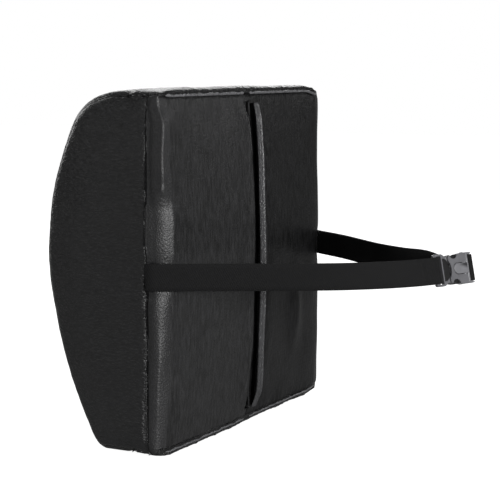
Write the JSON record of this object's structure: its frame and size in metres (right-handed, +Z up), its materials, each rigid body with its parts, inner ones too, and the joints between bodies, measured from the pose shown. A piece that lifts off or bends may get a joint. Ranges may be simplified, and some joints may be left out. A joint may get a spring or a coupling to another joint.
{
  "type": "lumbar support cushion",
  "caption": "Black faux-leather lumbar support cushion with a curved front, a zipped back and a buckled webbing loop that goes round a chair back.",
  "frame": {"origin": "middle of the flat underside, which the cushion stands on", "axes": "+Z up, +Y out of the flat back panel towards the chair back, -Y out of the curved front, X across the width"},
  "size_m": [0.3336, 0.3474, 0.33],
  "materials": {
    "faux_leather": "satin",
    "foam": "matte",
    "zip_tape": "matte",
    "zip_metal": "satin",
    "webbing": "matte",
    "buckle_plastic": "satin"
  },
  "bodies": {
    "root": {"foam_core": "foam", "cover_front": "faux_leather", "cover_side_left": "faux_leather", "cover_side_right": "faux_leather", "cover_top_border": "faux_leather", "cover_bottom_border": "faux_leather", "cover_back_left": "faux_leather", "cover_back_right": "faux_leather", "zip_tape_left": "zip_tape", "zip_tape_right": "zip_tape", "zip_teeth_left": "zip_tape", "zip_teeth_right": "zip_tape", "zip_stop_top_left": "zip_metal", "zip_stop_top_right": "zip_metal", "zip_stop_bottom": "zip_metal", "strap_left": "webbing", "strap_right": "webbing", "buckle_housing": "buckle_plastic"},
    "plug": {"buckle_plug": "buckle_plastic", "strap_right_loop": "webbing"},
    "prong_upper": {"buckle_prong_upper": "buckle_plastic"},
    "prong_lower": {"buckle_prong_lower": "buckle_plastic"},
    "slider": {"zip_slider": "zip_metal"},
    "pull": {"zip_pull": "zip_metal"},
    "flap": {"zip_flap": "faux_leather"}
  },
  "joints": [
    {"name": "plug_release", "type": "slide", "parent": "root", "child": "plug", "axis": [-0.9003, 0.4352, 0], "range_m": [0, 0.02]},
    {"name": "prong_upper_bend", "type": "hinge", "parent": "plug", "child": "prong_upper", "pos_m": [-0.03043, 0.24389, 0.1699], "axis": [-0.4223, -0.8736, -0.2419], "range_deg": [-18, 0]},
    {"name": "prong_lower_bend", "type": "hinge", "parent": "plug", "child": "prong_lower", "pos_m": [-0.029, 0.24686, 0.1567], "axis": [-0.4223, -0.8736, -0.2419], "range_deg": [0, 18]},
    {"name": "zip_run", "type": "slide", "parent": "root", "child": "slider", "axis": [0, 0, -1], "range_m": [0, 0.272]},
    {"name": "pull_swing", "type": "hinge", "parent": "slider", "child": "pull", "pos_m": [0, 0.0298, 0.3032], "axis": [1, 0, 0], "range_deg": [0, 180]},
    {"name": "flap_open", "type": "hinge", "parent": "root", "child": "flap", "pos_m": [-0.016, 0.0289, 0.165], "axis": [0, 0, 1], "range_deg": [-20, 80]}
  ],
  "couplings": [
    {"joint": "prong_upper_bend", "follows": "plug_release", "rad_per_m": -15},
    {"joint": "prong_lower_bend", "follows": "plug_release", "rad_per_m": 15}
  ]
}
